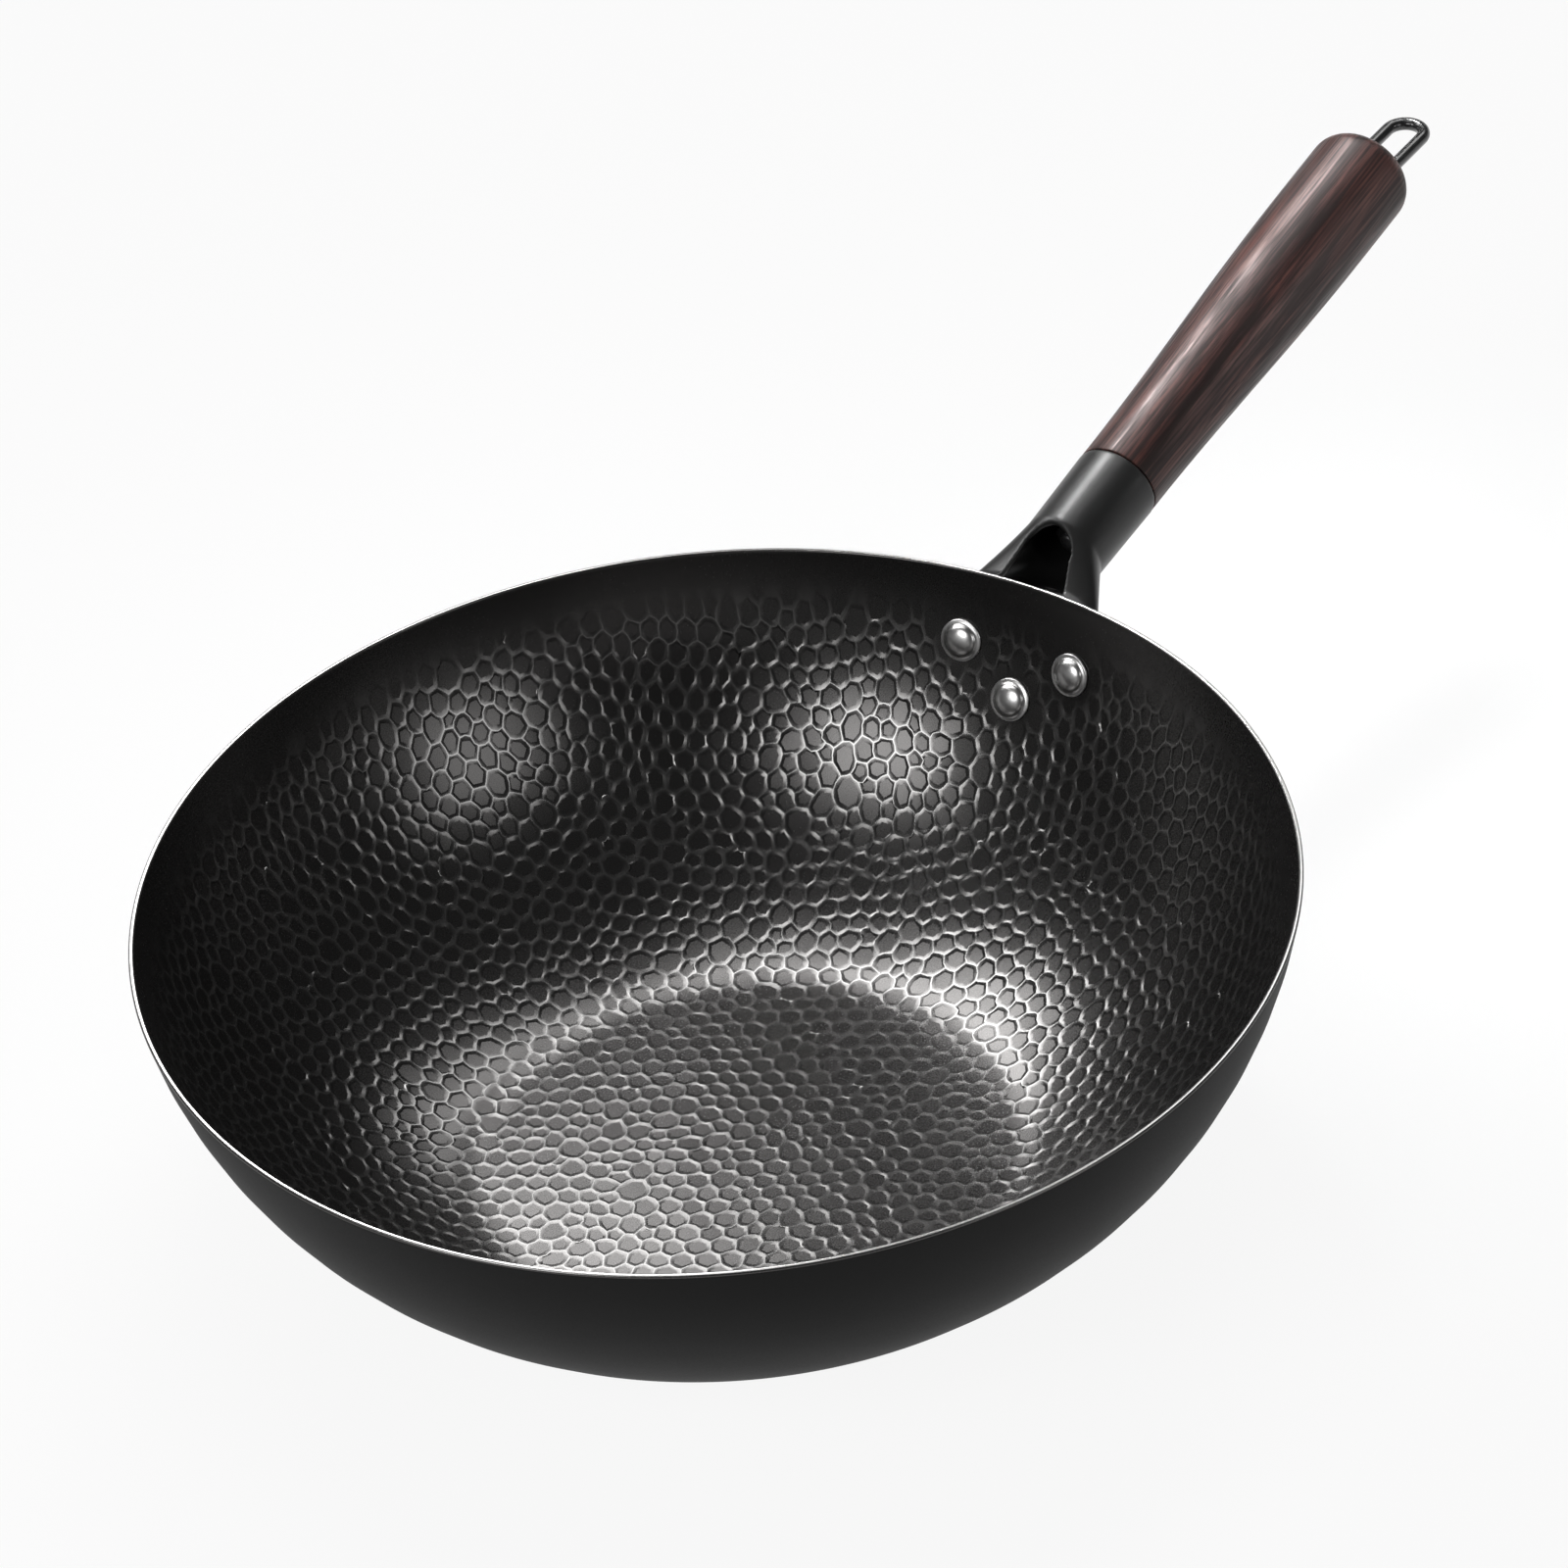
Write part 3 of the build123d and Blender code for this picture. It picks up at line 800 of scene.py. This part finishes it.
rod_turns = even_turns(rod_columns)
thread_along = np.arange(rod_tip, thread_end, thread_pitch / rings_in_pitch)
plain_along = np.linspace(thread_end, grip_end - pivot_depth - eye_bore, plain_rings)
rod_along = np.concatenate([thread_along, plain_along])[:, None]
phase = (rod_along / thread_pitch - rod_turns / (2 * math.pi)) % 1
groove = thread_depth * np.maximum(1 - 4 * np.abs(phase - 0.5), 0) * (rod_along < thread_end)
rod_wide = np.minimum(rod_radius - groove, rod_radius - tip_chamfer + rod_along - rod_tip)
rod_ends = on_handle([(rod_along[0, 0], 0, 0), (rod_along[-1, 0], 0, 0)])
rod = capped("threaded_rod", round_handle(rod_along, rod_wide, rod_turns), rod_ends)

# %% Rod's eye
eye_middle = (eye_radius + eye_bore) / 2
eye_section = rounded([
    (eye_middle, -eye_half_width), (eye_radius, -eye_half_width), (eye_radius, eye_half_width),
    (eye_bore, eye_half_width), (eye_bore, -eye_half_width), (eye_middle, -eye_half_width),
], [eye_fillet] * 4)[:-1]
eye_circle = circle_of(even_turns(eye_columns), along, upwards)
eye_rings = (np.array(pivot) + eye_section[:, None, :1] * eye_circle
             + eye_section[:, None, 1:] * np.array(sideways))
eye = new_piece("rod_eye", eye_rings.reshape(-1, 3), strips(len(eye_section), eye_columns, closed=True))
for piece in (rod, eye):
    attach(piece, "wok")
    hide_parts("tie_rod")

# %% [markdown]
# ## Materials
# A metal's look is mostly in its roughness and in what it reflects, so each finish here is a Principled
# shader with its own roughness, broken up by fine noise. The noise is one node group, which every
# material uses at its own scale.

# %% Node helpers
def add(tree, kind, inputs=None, **settings):
    """A node of a kind, with its settings, and its inputs set to values or linked to sockets."""
    node = tree.nodes.new(kind)
    for name, value in settings.items():
        setattr(node, name, value)
    for name, value in (inputs or {}).items():
        socket = node.inputs[name]
        if isinstance(value, bpy.types.NodeSocket):
            tree.links.new(value, socket)
        else:
            socket.default_value = value
    return node


def calc(tree, operation, *values):
    """The result of a math node for up to three values or sockets."""
    return add(tree, "ShaderNodeMath", dict(enumerate(values)), operation=operation).outputs[0]


def mix(tree, factor, first, second, kind="RGBA"):
    """The first colour or value where the factor is 0, the second where it is 1."""
    inputs = {"Factor": factor, "A": first, "B": second}
    return add(tree, "ShaderNodeMix", inputs, data_type=kind).outputs["Result"]


def emptied(holder):
    """The node tree of a material or a world, with nothing in it."""
    holder.use_nodes = True
    holder.node_tree.nodes.clear()
    return holder.node_tree


# %% Surface variation
def surface_group():
    """Fine and broad noise: Rough varies round 1, Patch is a broad mask, and Height is a fine bump."""
    group = bpy.data.node_groups.new("surface_variation", "ShaderNodeTree")
    for label in ("Grain", "Patches", "Spread"):
        group.interface.new_socket(label, in_out="INPUT", socket_type="NodeSocketFloat")
    for label in ("Rough", "Patch", "Height"):
        group.interface.new_socket(label, in_out="OUTPUT", socket_type="NodeSocketFloat")
    given = add(group, "NodeGroupInput")
    place = add(group, "ShaderNodeTexCoord").outputs["Object"]
    fine, wide = [
        add(group, "ShaderNodeTexNoise", {"Vector": place, "Scale": scale, "Detail": detail}).outputs["Fac"]
        for scale, detail in ((given.outputs["Grain"], 3.0), (given.outputs["Patches"], 4.0))
    ]
    centred = calc(group, "SUBTRACT", calc(group, "ADD", fine, wide), 1.0)
    rough = calc(group, "MULTIPLY_ADD", centred, given.outputs["Spread"], 1.0)
    add(group, "NodeGroupOutput", {"Rough": rough, "Patch": wide, "Height": fine})
    return group


variation = surface_group()
bump_strength = 0.35


def new_material(name, grain, patches, spread, bump, **shader_inputs):
    """A Principled material with the variation group, and a bump from its fine noise unless bump is 0."""
    material = bpy.data.materials.new(name)
    tree = emptied(material)
    shader = add(tree, "ShaderNodeBsdfPrincipled", shader_inputs)
    add(tree, "ShaderNodeOutputMaterial", {"Surface": shader.outputs["BSDF"]}, is_active_output=True)
    amounts = {"Grain": grain, "Patches": patches, "Spread": spread}
    varied = add(tree, "ShaderNodeGroup", amounts, node_tree=variation)
    if bump:
        inputs = {"Height": varied.outputs["Height"], "Strength": bump_strength, "Distance": bump}
        tree.links.new(add(tree, "ShaderNodeBump", inputs).outputs["Normal"], shader.inputs["Normal"])
    return material, tree, shader, varied


def vary_roughness(tree, shader, varied, roughness):
    """Roughness times the group's variation, linked to the shader."""
    product = calc(tree, "MULTIPLY", varied.outputs["Rough"], roughness)
    tree.links.new(product, shader.inputs["Roughness"])
    return product


def dress(piece, material):
    """The piece's only material."""
    piece.data.materials.clear()
    piece.data.materials.append(material)


# %% [markdown]
# ### Seasoned steel
# Seasoning is a thin, hard, black film baked onto the steel. It keeps a metal's sheen, so the shader is
# metallic with a very dark colour. Use wears it off the ridges first, and there the steel shows a
# little: paler and a touch smoother than the dimples. That paler colour is also a painted sheen, which
# keeps the ridges light even where no lamp glints on them. On the rim it was ground off altogether,
# which leaves a thin bright line.

# %% Seasoned steel
film_colours = (0.062, 0.060, 0.059, 1), (0.078, 0.076, 0.075, 1)
ridge_wear_and_sheen_colour, ground_colour = (0.24, 0.237, 0.234, 1), (0.72, 0.71, 0.70, 1)
film_rough, worn_rough, ground_rough = 0.27, 0.22, 0.28

seasoned, tree, shader, varied = new_material(
    "seasoning", grain=1400, patches=14, spread=0.12, bump=0, Metallic=0.95)
ridge_mask = add(tree, "ShaderNodeAttribute", attribute_name="ridge").outputs["Fac"]
bare_mask = add(tree, "ShaderNodeAttribute", attribute_name="bare").outputs["Fac"]
film = mix(tree, varied.outputs["Patch"], *film_colours)
# the ridges' paler colour is partly wear and partly painted sheen
wear_and_sheen = mix(tree, ridge_mask, film, ridge_wear_and_sheen_colour)
tree.links.new(mix(tree, bare_mask, wear_and_sheen, ground_colour), shader.inputs["Base Color"])
rough = mix(tree, ridge_mask, vary_roughness(tree, shader, varied, film_rough), worn_rough, "FLOAT")
tree.links.new(mix(tree, bare_mask, rough, ground_rough, "FLOAT"), shader.inputs["Roughness"])
dress(bowl, seasoned)

# %% [markdown]
# ### Matt outside
# The outside carries a matt black coat that stands flames: a rough, nearly black paint with a small
# specular level, and a fine bump that makes it look dry. The bowl's faces were made row by row, so the
# last of them, from the rim outwards, take the second slot.

# %% Outside of the bowl
matt_coat, tree, shader, varied = new_material(
    "matt_outside", grain=1600, patches=18, spread=0.2, bump=0.02 * MM,
    **{"Base Color": (0.0085, 0.0085, 0.0085, 1), "Specular IOR Level": 0.06})
vary_roughness(tree, shader, varied, 0.55)
bowl.data.materials.append(matt_coat)
outer_faces = (len(outside_rows) + 1) * ring_columns
outside_index = np.zeros(len(bowl.data.polygons), np.int32)
outside_index[-outer_faces:] = 1
bowl.data.polygons.foreach_set("material_index", outside_index)
print("outside faces:", outer_faces)

# %% [markdown]
# ### Bright, plated and black metals
# The rivets are polished bare steel, just rough enough to blur each lamp into a soft patch. The rod,
# its nut and its washers are plated with black zinc, which keeps them dark behind the arch. That dark
# colour is partly the plating and partly painted shade, standing in for the shadow inside the arch. The
# bracket is blasted and blackened, so it scatters light widely, while the wire loop is dipped in gloss
# black: a dark base under a clear coat.

# %% Other metals
washers_and_nut = [frame["nodes"][node] for node in ("flat_washer", "spring_washer", "rod_nut")]
rivet_pieces = [piece for piece in scene.objects if piece.name.startswith("polished_rivet")]
finishes = [
    # name, grain, patches, spread, bump, roughness, pieces, and the shader's own values
    ("polished_steel", 500, 60, 0.1, 0, 0.30, rivet_pieces,
     {"Base Color": (0.60, 0.595, 0.59, 1), "Metallic": 1.0}),
    # the plate's dark colour is partly black zinc and partly painted shade for the inside of the bracket's
    # arch
    ("black_zinc_and_arch_shade", 900, 80, 0.5, 0.02 * MM, 0.42, [rod, eye, *washers_and_nut],
     {"Base Color": (0.06, 0.06, 0.062, 1), "Metallic": 0.9}),
    ("blackened_bracket", 1100, 30, 0.25, 0.03 * MM, 0.36, [bracket],
     {"Base Color": (0.030, 0.030, 0.030, 1), "Metallic": 0.6, "Specular IOR Level": 0.4}),
    ("gloss_black_wire", 700, 120, 0.4, 0.03 * MM, 0.32, [loop],
     {"Base Color": (0.012, 0.012, 0.0125, 1), "Metallic": 0.2, "Coat Weight": 0.7, "Coat Roughness": 0.10}),
]
for name, grain, patches, spread, bump, roughness, pieces, own_values in finishes:
    material, tree, shader, varied = new_material(name, grain, patches, spread, bump, **own_values)
    vary_roughness(tree, shader, varied, roughness)
    for piece in pieces:
        dress(piece, material)
    print(name, "on", [piece.name for piece in pieces])

# %% [markdown]
# ### Rosewood
# Rosewood grows in dark and red-brown layers, cut here along the handle, so the figure is noise that is
# stretched along the handle. A broad noise makes the layers and a fine one the streaks in them, and the
# pores are a third, kept only where it is darkest. The streaks also change how smooth the oiled wood
# is, and its sheen is tinted a little, as light comes back through the upper fibres.

# %% Rosewood
rosewood, tree, shader, _ = new_material(
    "oiled_rosewood", grain=1500, patches=40, spread=0.2, bump=0.02 * MM,
    **{"Specular IOR Level": 0.28, "Specular Tint": (1.0, 0.84, 0.82, 1)})
place = add(tree, "ShaderNodeTexCoord").outputs["Object"]
level = add(tree, "ShaderNodeMapping", {"Vector": place, "Rotation": (0, handle_rise, 0)}).outputs["Vector"]


def grain_noise(lengthwise, crosswise, **settings):
    """Noise in the grip's own directions, scaled one way along the handle and another way across it."""
    squeezed = add(tree, "ShaderNodeMapping", {"Vector": level, "Scale": (lengthwise, crosswise, crosswise)})
    inputs = {"Vector": squeezed.outputs["Vector"], "Scale": 1.0, **settings}
    return add(tree, "ShaderNodeTexNoise", inputs).outputs["Fac"]


layers = grain_noise(9, 150, Detail=5.0, Distortion=0.6)
streaks = grain_noise(36, 1200, Detail=2.0)
pores = grain_noise(110, 2600, Detail=1.0)
streak_share, figure_shift = 0.9, 0.29
figure = calc(tree, "SUBTRACT", calc(tree, "MULTIPLY_ADD", streaks, streak_share, layers), figure_shift)
ramp = add(tree, "ShaderNodeValToRGB", {"Fac": figure})
stops = ramp.color_ramp.elements
stops[0].position, stops[0].color = 0.42, (0.009, 0.0055, 0.005, 1)
stops[1].position, stops[1].color = 0.88, (0.080, 0.033, 0.028, 1)
for where, colour in ((0.56, (0.010, 0.0062, 0.006, 1)), (0.70, (0.034, 0.0152, 0.0134, 1))):
    stops.new(where).color = colour
pore_mask = add(tree, "ShaderNodeMapRange", {
    "Value": pores, "From Min": 0.36, "From Max": 0.30, "To Min": 0.0, "To Max": 0.75}).outputs["Result"]
pore_colour = (0.006, 0.003, 0.003, 1)
tree.links.new(mix(tree, pore_mask, ramp.outputs["Color"], pore_colour), shader.inputs["Base Color"])
grain_rough = add(tree, "ShaderNodeMapRange", {
    "Value": streaks, "From Min": 0.35, "From Max": 0.65, "To Min": 0.56, "To Max": 0.32})
tree.links.new(grain_rough.outputs["Result"], shader.inputs["Roughness"])
dress(grip, rosewood)

# %% [markdown]
# ## Studio
# The wok stands on a white table in a white room. Rays from the camera see the floor and the world as
# plain white, while diffuse rays see a matt table in a dim room, so no extra light falls on the object.
# Gloss sees the white table too, and white round the horizon, but a dark ceiling, in which only the
# lamps stand out.
#
# Soft boxes stand left and right of the camera, behind the wok, above it and beyond the handle. Their
# reflections draw the two windows on the back wall and the bright ring round the floor of the bowl. A
# small box close over the far rim brightens the near side of the floor only. Two more light the grip
# alone: a grid in front of each keeps the light in a narrow beam that misses the bowl.

# %% Floor
table_colour, plain_share, floor_half = (0.80, 0.80, 0.80, 1), 0.90, 6.0


def seen_directly(tree, rays):
    """1 for a ray from the camera, also one that came through glass, and 0 for any other."""
    return calc(tree, "MAXIMUM", rays.outputs["Is Camera Ray"], rays.outputs["Is Transmission Ray"])


white_table = bpy.data.materials.new("white_table")
tree = emptied(white_table)
rays = add(tree, "ShaderNodeLightPath")
matt = add(tree, "ShaderNodeBsdfDiffuse", {"Color": table_colour}).outputs[0]
plain = add(tree, "ShaderNodeEmission", {"Strength": 1.0}).outputs[0]
seen = calc(tree, "MAXIMUM", seen_directly(tree, rays), rays.outputs["Is Glossy Ray"])
share = calc(tree, "MULTIPLY", seen, plain_share)
mixed = add(tree, "ShaderNodeMixShader", {0: share, 1: matt, 2: plain})
add(tree, "ShaderNodeOutputMaterial", {"Surface": mixed.outputs[0]})

floor_mesh = bpy.data.meshes.new("table")
floor_corners = [(x * floor_half, y * floor_half, 0) for x, y in ((-1, -1), (1, -1), (1, 1), (-1, 1))]
floor_mesh.from_pydata(floor_corners, [], [(0, 1, 2, 3)])
floor = bpy.data.objects.new("table", floor_mesh)
floor_mesh.materials.append(white_table)
scene.collection.objects.link(floor)
floor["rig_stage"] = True

# %% World
room_light, horizon, ceiling_start, ceiling_light = 0.15, 0.02, 0.20, 0.05
world = bpy.data.worlds.new("room")
scene.world = world
tree = emptied(world)
rays = add(tree, "ShaderNodeLightPath")
dim = add(tree, "ShaderNodeBackground", {"Color": (1.0, 1.0, 1.0, 1), "Strength": room_light}).outputs[0]
white = add(tree, "ShaderNodeBackground", {"Strength": 1.0}).outputs[0]
looking = add(tree, "ShaderNodeTexCoord").outputs["Generated"]
height = add(tree, "ShaderNodeSeparateXYZ", {0: looking}).outputs["Z"]
ceiling = add(tree, "ShaderNodeMapRange", {
    "Value": height, "From Min": horizon, "From Max": ceiling_start, "To Min": 1.0, "To Max": ceiling_light,
}, interpolation_type="SMOOTHSTEP")
room = add(tree, "ShaderNodeBackground", {"Strength": ceiling.outputs["Result"]}).outputs[0]
glossy = add(tree, "ShaderNodeMixShader", {0: rays.outputs["Is Glossy Ray"], 1: dim, 2: room}).outputs[0]
mixed = add(tree, "ShaderNodeMixShader", {0: seen_directly(tree, rays), 1: glossy, 2: white})
add(tree, "ShaderNodeOutputWorld", {"Surface": mixed.outputs[0]})
scene.view_settings.view_transform = "Standard"

# %% Soft boxes
bowl_middle = Vector((0, 0, 0.05))
grip_middle = handle_origin + along * 145 * MM
soft_boxes = {
    # heading and height in degrees, distance, width, tall, power, and for some the target and the spread
    "box_left_of_camera": (174, 36, 1.3, 0.60, 0.50, 6.2),
    "box_right_of_camera": (268, 22, 1.3, 0.50, 0.58, 2.4),
    "box_behind": (62.5, 40, 1.3, 0.46, 0.36, 2.6),
    "box_above": (62, 75, 1.3, 0.45, 0.40, 2.0),
    "box_beyond_handle": (6, 47, 1.3, 0.38, 0.70, 3.3),
    "box_over_rim": (58.5, 47, 0.33, 0.15, 0.12, 0.62),
    "gridded_box_left": (50, 52, 0.44, 0.18, 0.22, 0.18, grip_middle, 20),
    "gridded_box_right": (291, 19, 0.50, 0.12, 0.10, 0.012, grip_middle, 16),
}


def soft_box(name, heading, height, distance, width, tall, power, target=bowl_middle, spread=180):
    """A lamp at a heading and height seen from its target, facing it; a grid narrows its spread."""
    away = direction(math.radians(heading), math.radians(height))
    lamp = bpy.data.objects.new(name, bpy.data.lights.new(name, "AREA"))
    lamp.data.shape, lamp.data.size, lamp.data.size_y = "RECTANGLE", width, tall
    lamp.data.energy, lamp.data.spread = power, math.radians(spread)
    lamp.location = target + away * distance
    lamp.rotation_mode = "QUATERNION"
    lamp.rotation_quaternion = (-away).to_track_quat("-Z", "Y")
    lamp.visible_camera = False
    scene.collection.objects.link(lamp)


for name, values in soft_boxes.items():
    soft_box(name, *values)
print(len(soft_boxes), "soft boxes")

# %% [markdown]
# ## Sizes and finish
# The looks must not change the object's size, so the frame's box and the dressed object's box are
# written side by side.

# %% Sizes
look_low, look_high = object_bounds()
differences = [round((a - b) / MM, 3) for a, b in zip([*look_low, *look_high], [*cad_low, *cad_high])]
print("boxes differ by", differences, "mm")
